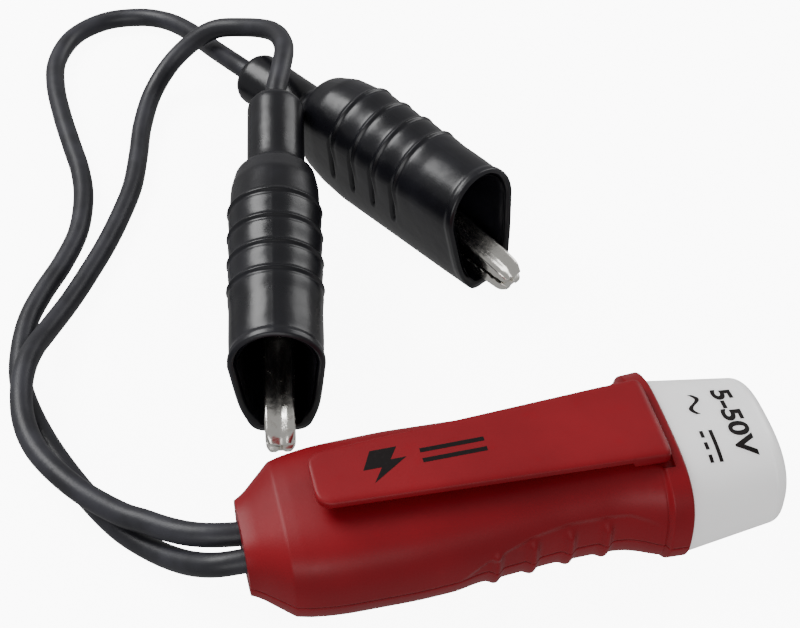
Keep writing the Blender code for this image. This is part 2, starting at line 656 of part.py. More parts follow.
def build_lower_jaw(label, parts, cutters, frame, nickel):
    """The fixed jaw: a crimp trough, the two ears of the pivot and the toothed nose."""
    stations = [
        (14.0, CRIMP_HALF, 6.9, 9.5), (19.0, CRIMP_HALF, 6.9, 9.5), (20.5, 1.9, 5.8, 7.4),
        (22.5, EAR_HALF, 3.0, 6.4), (24.5, EAR_HALF, 1.9, 7.4), (PIVOT_X - 2.2, EAR_HALF, 1.8, 9.5),
        (PIVOT_X + 2.5, EAR_HALF, 1.8, 9.5), (PIVOT_X + 4.5, EAR_HALF, 1.8, 8.6),
        (PIVOT_X + 6.5, EAR_HALF, 1.8, 6.6), (PIVOT_X + 8.0, EAR_HALF, 1.8, 4.9),
        (PIVOT_X + 9.5, 2.1, 1.8, 4.4), (PIVOT_X + 12.0, TIP_HALF, 1.8, 4.3),
        (JAW_TIP_X - 1.0, TIP_HALF, 1.9, 3.4), (JAW_TIP_X, TIP_HALF - 0.4, 2.2, 3.2),
    ]
    rings = [channel(x, half, floor, rim, 1) for x, half, floor, rim in stations]
    jaw = add_mesh(f"lower_jaw_{label}", loft_mesh("lower_jaw", rings), nickel, parts, frame)
    hole = rod_mesh("hole", (PIVOT_X, -6, PIVOT_Z), (PIVOT_X, 6, PIVOT_Z), PIN_RADIUS + GAP)
    cut_with(jaw, hole, cutters, "pin_hole", frame)
    return jaw


def build_upper_jaw(label, parts, cutters, frame, nickel):
    """The moving jaw and its thumb lever, with its origin on the pivot."""
    stations = [
        (18.3, LEVER_HALF - 0.5, 14.0, 14.8), (18.9, LEVER_HALF, 13.8, 14.7), (20.4, LEVER_HALF - 0.1, 13.0, 13.9),
        (21.6, UPPER_HALF, 11.6, 13.2), (24.5, UPPER_HALF, 8.6, 12.0), (PIVOT_X - 2.0, UPPER_HALF, 6.6, 11.2),
        (PIVOT_X, UPPER_HALF, 6.2, 10.7), (PIVOT_X + 3.5, UPPER_HALF, 5.9, 9.9),
        (PIVOT_X + 7.5, UPPER_HALF, 5.5, 9.0), (PIVOT_X + 9.5, TIP_HALF - 0.05, 5.0, 8.4),
        (PIVOT_X + 15.5, TIP_HALF, 4.4, 7.0), (PIVOT_X + 23.5, TIP_HALF, 3.95, 5.7),
        (JAW_TIP_X - 1.0, TIP_HALF, 3.75, 5.1), (JAW_TIP_X, TIP_HALF - 0.4, 3.55, 4.5),
    ]
    rings = []
    for x, half, low, high in stations:
        rings.append([(px - PIVOT_X, py, pz - PIVOT_Z) for px, py, pz in channel(x, half, low, high, -1)])
    jaw = add_mesh(f"upper_jaw_{label}", loft_mesh("upper_jaw", rings), nickel, parts, frame)
    jaw.location = Vector((PIVOT_X, 0, PIVOT_Z)) * MM
    hole = rod_mesh("hole", (PIVOT_X, -6, PIVOT_Z), (PIVOT_X, 6, PIVOT_Z), PIN_RADIUS + GAP)
    cut_with(jaw, hole, cutters, "pin_hole", frame)
    return jaw


def build_pin(label, parts, frame, steel):
    length = EAR_HALF + 0.5
    mesh = rod_mesh("pin", (PIVOT_X, -length, PIVOT_Z), (PIVOT_X, length, PIVOT_Z), PIN_RADIUS, 20)
    pin = add_mesh(f"pivot_pin_{label}", mesh, steel, parts, frame)
    smooth(pin)


def build_spring(label, parts, frame, steel):
    """A torsion coil on the pin, one arm under the lever and one on the lower jaw's floor."""
    coil = PIN_RADIUS + GAP + SPRING_WIRE + 0.1
    pitch = 2 * SPRING_WIRE + 0.12
    start = -pitch * SPRING_TURNS / 2
    count = 14 * SPRING_TURNS
    points = [(PIVOT_X - 6.6, start, PIVOT_Z + 3.7), (PIVOT_X - 3.0, start, PIVOT_Z + 2.2)]
    for step in range(count + 8):
        angle = math.radians(90) - 2 * math.pi * step / 14
        y = start + pitch * step / 14
        points.append((PIVOT_X + coil * math.cos(angle), y, PIVOT_Z + coil * math.sin(angle)))
    last = points[-1]
    points += [(PIVOT_X - 2.6, last[1], PIVOT_Z - 2.4), (PIVOT_X - 5.4, last[1], PIVOT_Z - 3.6)]
    wire(f"jaw_spring_{label}", points, SPRING_WIRE, steel, parts, frame)


def build_clip(label, parts, cutters, finishes):
    frame = bpy.data.objects.new(f"clip_{label}_frame", None)
    parts.objects.link(frame)
    heading, pitch = CLIP_POSES[label][1:]
    frame.location = clip_place(label) * MM
    frame.rotation_euler = (0, math.radians(pitch), math.radians(heading))
    build_boot(label, parts, frame, finishes["boot"])
    build_lower_jaw(label, parts, cutters, frame, finishes["nickel"])
    build_upper_jaw(label, parts, cutters, frame, finishes["nickel"])
    build_pin(label, parts, frame, finishes["steel"])
    build_spring(label, parts, frame, finishes["steel"])
    points = [(x, 0, BARREL_Z) for x in (BARREL_LENGTH + 0.6, 15.0, 18.6)]
    wire(f"clip_wire_{label}", points, CORE_RADIUS + 0.2, finishes["copper"], parts, frame)


# ---------------------------------------------------------------- assembly

def make_finishes():
    return {
        "red": make_material("red_plastic", (0.42, 0.035, 0.045), 0.38),
        "dark_red": make_material("red_plastic_lower", (0.36, 0.03, 0.04), 0.38),
        "milky": make_material("milky_plastic", (0.78, 0.78, 0.77), 0.3),
        "board": make_material("board_laminate", (0.03, 0.2, 0.08), 0.5),
        "epoxy": make_material("black_epoxy", (0.02, 0.02, 0.02), 0.5),
        "resistor": make_material("resistor_coat", (0.55, 0.42, 0.28), 0.5),
        "led_1": make_material("led_red_epoxy", (0.6, 0.03, 0.03), 0.15),
        "led_2": make_material("led_amber_epoxy", (0.7, 0.3, 0.03), 0.15),
        "copper": make_material("tinned_copper", (0.7, 0.55, 0.42), 0.35, 1.0),
        "lead": make_material("black_cable", (0.02, 0.02, 0.022), 0.42),
        "boot": make_material("black_vinyl", (0.02, 0.02, 0.022), 0.3),
        "nickel": make_material("nickel_plate", (0.72, 0.7, 0.66), 0.22, 1.0),
        "steel": make_material("pin_steel", (0.6, 0.6, 0.6), 0.3, 1.0),
    }


def main():
    clear_scene()
    parts = new_collection("circuit_test_light")
    cutters = new_collection("cutters")
    finishes = make_finishes()
    build_shells(parts, cutters, finishes["red"], finishes["dark_red"])
    build_lens(parts, cutters, finishes["milky"])
    build_pocket_clip(parts, finishes["red"])
    build_electronics(parts, cutters, finishes)
    for label, sign in (("a", 1), ("b", -1)):
        build_lead(label, sign, parts, finishes["lead"])
        build_clip(label, parts, cutters, finishes)


main()
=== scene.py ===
import math

import bmesh
import bpy
import numpy as np
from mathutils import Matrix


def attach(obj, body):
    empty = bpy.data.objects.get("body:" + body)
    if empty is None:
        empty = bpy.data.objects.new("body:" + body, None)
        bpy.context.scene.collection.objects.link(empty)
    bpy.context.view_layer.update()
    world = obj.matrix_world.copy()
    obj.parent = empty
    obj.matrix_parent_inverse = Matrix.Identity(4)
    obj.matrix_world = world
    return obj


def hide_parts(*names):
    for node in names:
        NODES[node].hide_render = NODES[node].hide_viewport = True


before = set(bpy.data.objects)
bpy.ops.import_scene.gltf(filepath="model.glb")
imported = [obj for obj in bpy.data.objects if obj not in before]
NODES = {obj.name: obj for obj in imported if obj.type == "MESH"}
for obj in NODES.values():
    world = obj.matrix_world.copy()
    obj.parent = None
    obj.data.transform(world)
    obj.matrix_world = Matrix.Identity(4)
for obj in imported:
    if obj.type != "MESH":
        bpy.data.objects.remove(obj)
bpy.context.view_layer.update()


# ---------------------------------------------------------------- camera
# A short telephoto stands over the tester's rear end and looks down at 46 degrees,
# with the tester low in the frame and the clips above it.

eye = bpy.data.cameras.new("camera")
eye.lens = 73.35
eye.sensor_width = 36.0
eye.clip_start = 0.01
camera = bpy.data.objects.new("camera", eye)
camera.location = (-0.04124, -0.11465, 0.164)
camera.rotation_euler = (math.radians(44.0), 0.0, math.radians(-13.6))
bpy.context.scene.collection.objects.link(camera)
bpy.context.scene.camera = camera


# ---------------------------------------------------------------- leads
# Two single-core test leads, stranded copper in a soft black jacket 3 mm thick with a
# dull shine. They come out of the rear face between the shells, lie on the table, cross,
# and run up into the clips' barrels.

MM = 0.001
LEAD_DIAMETER = 3.0 * MM
LEAD_EXIT_X = -32.6
LEAD_SIDE = 2.0
LEAD_Z = 7.0
BARREL_Z = 8.4
BARREL_LENGTH = 12.5
# Each clip: the place on the table side of its barrel's end, its heading and its pitch.
CLIP_POSES = {
    "a": ((-14.95, 70.9, 7.1), -100.6, 8.1),
    "b": ((-15.8, 85.8, 0.4), -59.2, 0.4),
}
# Whole lengths in metres, with the runs inside the body and the barrels.
INSIDE_BODY = (6.0, 3.0, 0.0)
INSIDE_BARREL = (-2.5, 1.5, 6.0, BARREL_LENGTH)
ROUTE_POINTS = 300
# Centre lines in millimetres, from the rear face to the barrels.
ROUTES = {
    "a": [
        (-36.0, 2.7, 6.9), (-38.6, 3.9, 6.5), (-41.0, 5.6, 6.0), (-43.4, 7.6, 5.6),
        (-46.1, 9.8, 5.2), (-50.4, 14.4, 5.1), (-53.9, 19.7, 5.1), (-55.6, 24.0, 5.0),
        (-56.3, 28.4, 5.0), (-56.1, 32.9, 5.1), (-55.3, 36.8, 5.0), (-54.0, 40.4, 4.4),
        (-52.0, 44.6, 3.1), (-48.6, 50.7, 1.8), (-45.3, 56.2, 1.6), (-42.2, 61.6, 1.6),
        (-39.3, 67.6, 1.6), (-37.0, 73.3, 1.6), (-35.3, 80.0, 1.6), (-33.7, 87.0, 1.8),
        (-30.9, 93.8, 2.8), (-26.5, 97.4, 5.9), (-20.9, 97.1, 10.1), (-15.9, 93.7, 12.4),
        (-12.2, 88.4, 14.8), (-11.5, 82.4, 16.3), (-12.9, 77.0, 16.5),
    ],
    "b": [
        (-36.0, -1.2, 6.2), (-38.9, 1.0, 4.5), (-41.6, 3.9, 3.0), (-44.1, 7.0, 2.0),
        (-46.5, 10.2, 1.7), (-49.0, 14.6, 1.6), (-51.7, 20.3, 1.6), (-54.1, 26.6, 1.6),
        (-55.8, 33.0, 1.6), (-56.4, 38.2, 1.6), (-55.8, 43.6, 1.6), (-54.4, 48.9, 1.6),
        (-52.0, 53.7, 1.6), (-48.8, 58.9, 1.6), (-46.0, 64.9, 1.6), (-44.5, 71.9, 1.6),
        (-44.3, 78.2, 1.6), (-45.0, 85.1, 1.6), (-45.7, 92.3, 1.6), (-46.0, 100.1, 1.6),
        (-45.1, 106.7, 1.6), (-41.8, 112.6, 1.6), (-36.4, 115.6, 1.6), (-30.5, 115.1, 1.8),
        (-26.3, 112.0, 2.5), (-23.2, 106.4, 3.8), (-21.0, 100.0, 5.3), (-19.2, 93.8, 7.3),
    ],
}


class Socket:
    """A shader value. Sums, differences and products written with it add their Math nodes."""

    def __init__(self, paint, link):
        self.paint = paint
        self.link = link

    def math(self, operation, *values):
        return self.paint.node("ShaderNodeMath", {"operation": operation}, dict(enumerate(values)))

    def __add__(self, other):
        return self.math("ADD", self, other)

    def __sub__(self, other):
        return self.math("SUBTRACT", self, other)

    def __rsub__(self, other):
        return self.math("SUBTRACT", other, self)

    def __mul__(self, other):
        return self.math("MULTIPLY", self, other)

    __radd__ = __add__
    __rmul__ = __mul__

    def step(self, low, high):
        """Rises smoothly from 0 at low to 1 at high."""
        settings = {"interpolation_type": "SMOOTHSTEP"}
        return self.paint.node("ShaderNodeMapRange", settings, {0: self, 1: low, 2: high})


class Paint:
    """A material being painted. node() adds any node, and feed() joins a value to the shader."""

    def __init__(self, name, color, roughness, **fixed):
        self.material = bpy.data.materials.new(name)
        self.material.use_nodes = True
        self.tree = self.material.node_tree
        self.shader = self.tree.nodes["Principled BSDF"]
        self.color = (*color, 1.0)
        self.shader.inputs["Base Color"].default_value = self.color
        self.shader.inputs["Roughness"].default_value = roughness
        for socket, value in fixed.items():
            self.shader.inputs[socket.replace("_", " ")].default_value = value
        self.place = self.node("ShaderNodeTexCoord", output="Object")

    def node(self, kind, settings=None, inputs=None, output=0):
        """Any node: its settings first, then the values or links of its sockets."""
        node = self.tree.nodes.new(kind)
        for key, value in (settings or {}).items():
            setattr(node, key, value)
        for key, value in (inputs or {}).items():
            if isinstance(value, Socket):
                self.tree.links.new(value.link, node.inputs[key])
            else:
                node.inputs[key].default_value = value
        return Socket(self, node.outputs[output])

    def noise(self, scale, detail=3.0, place=None):
        """Cloudy noise with scale waves to the metre, as a value near 0.5."""
        inputs = {"Vector": place or self.place, "Scale": scale, "Detail": detail}
        return self.node("ShaderNodeTexNoise", None, inputs)

    def stretched(self, scale):
        """The place on the piece multiplied by a scale along each axis."""
        return self.node("ShaderNodeMapping", None, {"Vector": self.place, "Scale": scale})

    def mix(self, factor, first, second):
        """The first colour at factor 0 and the second at 1. 6, 7 and 2 are its colour sockets."""
        inputs = {0: factor, 6: first, 7: second}
        return self.node("ShaderNodeMix", {"data_type": "RGBA"}, inputs, 2)

    def feed(self, socket, value):
        """Joins a value to one of the shader's sockets."""
        self.tree.links.new(value.link, self.shader.inputs[socket])

    def relief(self, height, distance, strength=1.0):
        """Bumps the surface by height times distance, in metres."""
        inputs = {"Height": height, "Distance": distance, "Strength": strength}
        self.feed("Normal", self.node("ShaderNodeBump", None, inputs))


def shade_of(color, factor):
    """The colour made lighter or darker by factor, as four numbers."""
    return (*[min(1.0, channel * factor) for channel in color[:3]], 1.0)


def jacket_paint():
    """Soft black jacket: faint cloudy wear in colour and shine, and an extruder's fine grain."""
    paint = Paint("black_cable", (0.015, 0.015, 0.019), 0.42, Specular_IOR_Level=0.4)
    cloud = paint.noise(220.0, 3.0)
    dust = paint.noise(2600.0, 2.0)
    worn = shade_of(paint.color, 1.9)
    paint.feed("Base Color", paint.mix(cloud.step(0.35, 0.7), paint.color, worn))
    paint.feed("Roughness", 0.36 + 0.12 * cloud + 0.05 * dust)
    paint.relief(dust * 0.5 + paint.noise(700.0), 0.00005, 0.5)
    return paint.material


def turned_and_placed(points, label):
    """Clip points, in millimetres along the clip's own axes, to metres where it lies: pitched about
    the sideways axis, headed about the upright one, and moved."""
    place, heading, pitch = CLIP_POSES[label]
    h, p = math.radians(heading), math.radians(pitch)
    tip = np.array([[math.cos(p), 0, math.sin(p)], [0, 1, 0], [-math.sin(p), 0, math.cos(p)]])
    head = np.array([[math.cos(h), -math.sin(h), 0], [math.sin(h), math.cos(h), 0], [0, 0, 1]])
    return (np.asarray(points) @ (head @ tip).T + np.array(place)) * MM


def smooth_route(points, count):
    """Evenly spaced points on the Catmull-Rom curve, whose slope at each given point is half the
    step from the point before it to the point after it."""
    points = np.array(points, float)
    p0 = np.vstack([2 * points[0] - points[1], points[:-2]])[:, None]
    p1 = points[:-1][:, None]
    p2 = points[1:][:, None]
    p3 = np.vstack([points[2:], 2 * points[-1] - points[-2]])[:, None]
    t = np.linspace(0, 1, 40, endpoint=False)[None, :, None]
    dense = 0.5 * (2 * p1 + (p2 - p0) * t + (2 * p0 - 5 * p1 + 4 * p2 - p3) * t ** 2
                   + (3 * p1 - p0 - 3 * p2 + p3) * t ** 3)
    dense = np.vstack([dense.reshape(-1, 3), points[-1:]])
    travel = np.concatenate([[0], np.cumsum(np.linalg.norm(np.diff(dense, axis=0), axis=1))])
    even = np.linspace(0, travel[-1], count)
    return np.column_stack([np.interp(even, travel, dense[:, k]) for k in range(3)])


def cable(name, route, radius, material):
    """A round cable along metre points, as a curve of one open spline."""
    curve = bpy.data.curves.new(name, "CURVE")
    curve.dimensions = "3D"
    curve.bevel_depth = radius
    curve.bevel_resolution = 5
    curve.use_fill_caps = True
    spline = curve.splines.new("POLY")
    spline.points.add(len(route) - 1)
    spline.points.foreach_set("co", np.column_stack([route, np.ones(len(route))]).ravel())
    spline.use_smooth = True
    piece = bpy.data.objects.new(name, curve)
    bpy.context.scene.collection.objects.link(piece)
    curve.materials.append(material)
    return piece


jacket = jacket_paint()
leads = {}
for label, side in (("a", LEAD_SIDE), ("b", -LEAD_SIDE)):
    body_run = [(LEAD_EXIT_X + step, side, LEAD_Z) for step in INSIDE_BODY]
    barrel_run = turned_and_placed([(x, 0, BARREL_Z) for x in INSIDE_BARREL], label) / MM
    route = body_run + ROUTES[label] + [tuple(point) for point in barrel_run]
    route = smooth_route(route, ROUTE_POINTS) * MM
    leads[label] = cable(f"cable_{label}", route, LEAD_DIAMETER / 2, jacket)
    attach(leads[label], "tester")
    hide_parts(f"lead_{label}")


# ---------------------------------------------------------------- clip boots
# Each clip wears a dip-moulded boot of soft black vinyl, pushed on from the lead's side:
# a round barrel, a hump over the thumb lever, four raised beads to grip by, and an open
# mouth whose upper edge is set back. The mould's parting line runs along its crest.

BOOT_LENGTH = 50.0
BOOT_WALL = 1.2
BARREL_RADIUS = 4.05
BOOT_HALF = 6.1
BOOT_TOP = 18.8
MOUTH_TOP = 18.0
MOUTH_SLANT = 2.6
BOOT_TAPER = 0.24
BEADS = 4
BEAD_FIRST = 24.5
BEAD_PITCH = 4.2
BEAD_STAND = 0.38
BEAD_SPREAD = 0.36
BEAD_LEAN = 0.9
SWELL_STAND = 0.16
SLOT_BACK = 0.45
SLOT_CUT = 0.7
LIP_STAND = 0.22
LIP_ROUND = 0.45
PARTING_STAND = 0.022


def eased(at, places, values, blur):
    """A table read by straight lines and averaged over a window of blur to each side."""
    window = np.linspace(-1, 1, 15)
    return np.mean([np.interp(at + share * blur, places, values) for share in window], axis=0)


def smoothstep(value, low, high):
    """Rises from 0 at low to 1 at high along a cubic with level ends."""
    t = np.clip((value - low) / (high - low), 0, 1)
    return t * t * (3 - 2 * t)


def skin(name, points, material, closed_around=True, caps=(False, False), flip=False):
    """A mesh from a grid of points, rows along the piece and columns around it, in metres, with a
    four-sided face between neighbours. closed_around joins the last column to the first, caps
    closes the first and the last row, and flip turns the faces over."""
    rows, columns = points.shape[:2]
    index = np.arange(rows * columns).reshape(rows, columns)
    right = np.roll(index, -1, axis=1)
    if not closed_around:
        index, right = index[:, :-1], right[:, :-1]
    quads = np.stack([index[:-1], right[:-1], right[1:], index[1:]], axis=-1).reshape(-1, 4)
    if flip:
        quads = quads[:, ::-1]
    faces = quads.tolist()
    first = np.arange(columns)
    last = first + (rows - 1) * columns
    if caps[0]:
        faces.append((first if flip else first[::-1]).tolist())
    if caps[1]:
        faces.append((last[::-1] if flip else last).tolist())
    mesh = bpy.data.meshes.new(name)
    mesh.from_pydata(points.reshape(-1, 3), [], faces)
    mesh.materials.append(material)
    mesh.shade_smooth()
    piece = bpy.data.objects.new(name, mesh)
    bpy.context.scene.collection.objects.link(piece)
    return piece


def walled(piece, thickness):
    """Gives an open skin its wall, inwards."""
    shell = piece.modifiers.new("wall", "SOLIDIFY")
    shell.thickness = thickness * MM
    shell.offset = -1.0
    return piece


def boot_skin(along, around):
    """A half circle on top, over sides that lean in to a superellipse underside. Its half width,
    crest and underside are read along the length. The surface is pushed out by bell-shaped beads
    with a low swell in front of each, cut by a slot behind each on the sides, and rounded at the
    mouth, which slides back in proportion to the height."""
    places = [0, 0.5, 1.2, 12.5, 13.4, 14.6, 16.2, 19.5, 24, 45, 50]
    barrel_top = BARREL_Z + BARREL_RADIUS
    barrel_low = BARREL_Z - BARREL_RADIUS
    half = eased(along, places, [3.5, 3.95, BARREL_RADIUS, BARREL_RADIUS, 4.2, 4.75, 5.5, 5.95,
                                 BOOT_HALF, BOOT_HALF, BOOT_HALF - 0.1], 0.35)
    crest = eased(along, places, [barrel_top - 0.6, barrel_top - 0.1, barrel_top, barrel_top, 13.1,
                                  14.8, 16.6, 18.1, BOOT_TOP, MOUTH_TOP + 0.2, MOUTH_TOP], 0.4)
    under = eased(along, places, [barrel_low + 0.6, barrel_low + 0.1, barrel_low, barrel_low, 3.9,
                                  2.8, 1.4, 0.4, 0.06, 0.04, 0.04], 0.4)
    power = eased(along, places, [2, 2, 2, 2, 2.2, 2.7, 3.3, 4.2, 5, 5, 5], 0.8)
    taper = eased(along, places, [0, 0, 0, 0, 0.05, 0.12, 0.18, BOOT_TAPER, BOOT_TAPER, BOOT_TAPER,
                                  BOOT_TAPER], 0.8)
    up = np.sin(around) >= 0
    centre = crest - half
    depth = np.where(up, 0.0, np.abs(np.sin(around)) ** (2 / power))
    side = np.sign(np.cos(around)) * np.abs(np.cos(around)) ** (2 / power) * (1 - taper * depth)
    side = np.where(up, np.cos(around), side)
    height = centre + np.where(up, half * np.sin(around), -(centre - under) * depth)
    share = np.clip((height - under) / (crest - under), 0, 1)
    flank = smoothstep(share, 0.46, 0.70)
    slot = smoothstep(share, 0.30, 0.36) * (1 - smoothstep(share, 0.60, 0.78))
    relief = np.zeros_like(along)
    for number in range(BEADS):
        gap = along - (BEAD_FIRST + number * BEAD_PITCH) + BEAD_LEAN * (1 - share)
        relief = relief + BEAD_STAND * np.exp(-(gap / BEAD_SPREAD) ** 2) * flank
        swell = smoothstep(gap, 0.2, 1.0) * smoothstep(-gap, -3.4, -1.0)
        relief = relief + SWELL_STAND * swell * flank
        relief = relief - SLOT_CUT * np.exp(-(np.abs(gap + SLOT_BACK) / BEAD_SPREAD) ** 3) * slot
    parting = np.exp(-((around - np.pi / 2) / 0.03) ** 2) * smoothstep(along, 13, 16)
    lip = LIP_STAND * smoothstep(along, BOOT_LENGTH - 2.0, BOOT_LENGTH - 0.9)
    lip = lip - LIP_ROUND * smoothstep(along, BOOT_LENGTH - 0.5, BOOT_LENGTH + 0.05) ** 2
    out = relief + PARTING_STAND * parting + lip * smoothstep(share, 0.0, 0.3)
    x = along - MOUTH_SLANT * share * smoothstep(along, 41.0, 50.0)
    y = half * side + out * np.where(up, np.cos(around), np.sign(np.cos(around)))
    z = height + out * np.where(up, np.sin(around), 0.0)
    return np.stack([x, y, np.maximum(z, under)], axis=-1)


def vinyl_paint():
    """Glossy black vinyl: a wet shine broken by soft moulding waves, rubbed duller in patches."""
    paint = Paint("black_vinyl", (0.005, 0.005, 0.007), 0.27, Specular_IOR_Level=0.42)
    cloud = paint.noise(160.0, 4.0)
    dust = paint.noise(3200.0, 2.0)
    rubbed = shade_of(paint.color, 1.8)
    paint.feed("Base Color", paint.mix(cloud.step(0.4, 0.75), paint.color, rubbed))
    paint.feed("Roughness", 0.2 + 0.16 * cloud + 0.05 * dust)
    paint.relief(paint.noise(260.0, 2.0) + 0.06 * dust, 0.00022, 0.45)
    return paint.material


vinyl = vinyl_paint()
boots = {}
stations = np.concatenate([np.linspace(0, 1.6, 10), np.linspace(2.2, 12.2, 10),
                           np.linspace(12.4, 22.0, 36), np.linspace(22.2, 40.0, 158),
                           np.linspace(40.6, 48.0, 14), np.linspace(48.15, 50.0, 18)])
around = np.linspace(0, 2 * np.pi, 196, endpoint=False)
boot_grid = boot_skin(*np.meshgrid(stations, around, indexing="ij"))
for label in ("a", "b"):
    boot = skin(f"vinyl_boot_{label}", turned_and_placed(boot_grid, label), vinyl)
    boots[label] = walled(boot, BOOT_WALL)
    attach(boot, "tester")
    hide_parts(f"boot_{label}")


# ---------------------------------------------------------------- clip jaws
# The clip inside each boot is folded from nickel-plated strip. The lower jaw ends in the
# crimp that holds the lead. The upper jaw is the thumb lever and the toothed nose, and it
# turns on a steel pin under a torsion spring.

JAW_TIP = 54.6
STRIP = 0.45
TOOTH_DEPTH = 0.22
TOOTH_PITCH = 1.3
TOOTHED_LENGTH = 9.0
FOLD_RADIUS = 0.42
INNER_FOLD_RADIUS = 0.12
EDGE_BREAK = 0.08
GROOVE_PRESS = 0.32
# Each row: place along the clip, half width, lower and upper height.
LOWER_JAW = [
    (14.0, 1.7, 6.9, 9.5), (19.0, 1.7, 6.9, 9.5), (20.5, 1.9, 5.8, 7.4), (22.5, 2.6, 3.0, 6.4),
    (24.5, 2.6, 1.9, 7.4), (26.3, 2.6, 1.8, 9.5), (31.0, 2.6, 1.8, 9.5), (33.0, 2.6, 1.8, 8.6),
    (35.0, 2.6, 1.8, 6.6), (36.5, 2.6, 1.8, 4.9), (38.0, 2.1, 1.8, 4.4), (40.5, 1.95, 1.8, 4.3),
    (53.4, 1.95, 1.85, 3.45), (54.2, 1.75, 2.0, 3.35), (54.6, 1.4, 2.3, 3.2),
]
UPPER_JAW = [
    (18.3, 2.6, 14.0, 14.8), (18.9, 3.0, 13.8, 14.7), (20.4, 2.9, 13.0, 13.9),
    (21.6, 1.85, 11.6, 13.2), (24.5, 1.85, 8.6, 12.0), (26.5, 1.85, 6.6, 11.2),
    (28.5, 1.85, 6.2, 10.7), (32.0, 1.85, 5.9, 9.9), (36.0, 1.85, 5.5, 9.0), (38.0, 1.9, 5.0, 8.4),
    (44.0, 1.95, 4.4, 7.0), (51.5, 1.95, 4.0, 5.75), (53.4, 1.9, 3.8, 5.25),
    (54.2, 1.7, 3.65, 4.75), (54.6, 1.4, 3.6, 4.3),
]


def channel_skin(stations, up):
    """A U section carried along the jaw, from the middle of its back round a quarter-circle fold,
    up the side to the free edge, down inside by the strip's thickness and back, then mirrored.
    A zigzag cuts teeth into the free edges near the tip, and a shallow groove is pressed along
    the nose. up is 1 for a trough and -1 for a cover."""
    table = np.array(stations, float)
    x = np.linspace(table[0, 0], table[-1, 0], 120)[:, None]
    half, low, high = [eased(x, table[:, 0], table[:, k], 0.35) for k in (1, 2, 3)]
    toothed = smoothstep(x, JAW_TIP - TOOTHED_LENGTH, JAW_TIP - TOOTHED_LENGTH + 1.0)
    teeth = TOOTH_DEPTH * np.abs(((x - JAW_TIP) / TOOTH_PITCH) % 1.0 * 2 - 1) * toothed
    back, edge = (low, high - teeth) if up == 1 else (high, low + teeth)
    press = GROOVE_PRESS * smoothstep(x, JAW_TIP - 14.0, JAW_TIP - 12.0) * up
    nose = 1.6 * smoothstep(x, JAW_TIP - 1.0, JAW_TIP - 0.5)
    thin_half = half - np.minimum(STRIP + nose, half - 0.2)
    thin_back = back + up * np.minimum(STRIP + nose, np.abs(edge - back) - 0.12)
    middle = np.zeros_like(half)
    fold = [(1 - np.cos(turn), 1 - np.sin(turn)) for turn in np.linspace(0, np.pi / 2, 6)]
    outer = [(middle, back + press), (0.2 * half, back + press), (0.42 * half, back)]
    outer += [(half - FOLD_RADIUS * out, back + up * FOLD_RADIUS * rise)
              for out, rise in fold[::-1]]
    outer += [(half, edge - up * EDGE_BREAK), (half - EDGE_BREAK, edge)]
    inside = [(thin_half + EDGE_BREAK, edge), (thin_half, edge - up * EDGE_BREAK)]
    inside += [(thin_half - INNER_FOLD_RADIUS * out, thin_back + up * INNER_FOLD_RADIUS * rise)
               for out, rise in fold]
    inside += [(0.42 * thin_half, thin_back), (0.2 * thin_half, thin_back + press),
               (middle, thin_back + press)]
    ring = outer + inside
    ring = ring + [(-y, z) for y, z in ring[-2:0:-1]]
    y = np.concatenate([part[0] for part in ring], axis=1)
    z = np.concatenate([part[1] for part in ring], axis=1)
    return np.stack([np.broadcast_to(x, y.shape), y, z], axis=-1)


def nickel_paint():
    """Bright nickel plate over drawn strip: fine lines along the draw, and warm dull spots."""
    paint = Paint("nickel_plate", (0.80, 0.78, 0.73), 0.2, Metallic=1.0)
    lines = paint.noise(1.0, 4.0, place=paint.stretched((900.0, 900.0, 5200.0)))
    spots = paint.noise(900.0, 3.0)
    paint.feed("Base Color", paint.mix(spots.step(0.55, 0.8), paint.color, (0.62, 0.58, 0.53, 1.0)))
    paint.feed("Roughness", 0.12 + 0.14 * lines + 0.12 * spots.step(0.5, 0.8))
    paint.relief(lines + 0.5 * spots, 0.00003, 0.4)
    return paint.material


def steel_paint():
    """Plain drawn steel, greyer than the plate, with an oily film in patches."""
    paint = Paint("pin_steel", (0.5, 0.5, 0.51), 0.3, Metallic=1.0)
    film = paint.noise(1400.0, 3.0)
    paint.feed("Base Color", paint.mix(film, paint.color, shade_of(paint.color, 0.6)))
    paint.feed("Roughness", 0.22 + 0.2 * film)
    return paint.material


def copper_paint():
    """Tinned copper strands: bright along each strand, with the copper's warmth in between."""
    paint = Paint("tinned_copper", (0.72, 0.62, 0.52), 0.35, Metallic=1.0)
    strand = paint.noise(3000.0, 2.0)
    paint.feed("Base Color", paint.mix(strand, paint.color, (0.55, 0.28, 0.15, 1.0)))
    paint.feed("Roughness", 0.25 + 0.3 * strand)
    paint.relief(strand, 0.00008)
    return paint.material


nickel = nickel_paint()
steel = steel_paint()
copper = copper_paint()
for label in ("a", "b"):
    halves = (("lower", LOWER_JAW, 1, "tester"), ("upper", UPPER_JAW, -1, f"jaw_{label}"))
    jaws = []
    for name, stations, up, body in halves:
        grid = turned_and_placed(channel_skin(stations, up), label)
        jaw = skin(f"{name}_jaw_plate_{label}", grid, nickel, caps=(True, True), flip=up == -1)
        jaw.data.set_sharp_from_angle(angle=math.radians(40))
        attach(jaw, body)
        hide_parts(f"{name}_jaw_{label}")
        jaws.append(jaw)
    NODES[f"pivot_pin_{label}"].data.materials[0] = steel
    NODES[f"jaw_spring_{label}"].data.materials[0] = steel
    NODES[f"clip_wire_{label}"].data.materials[0] = copper
    on_it = [boots[label]] + jaws
    on_it += [NODES[f"{name}_{label}"] for name in ("pivot_pin", "jaw_spring", "clip_wire")]
    side = LEAD_SIDE if label == "a" else -LEAD_SIDE


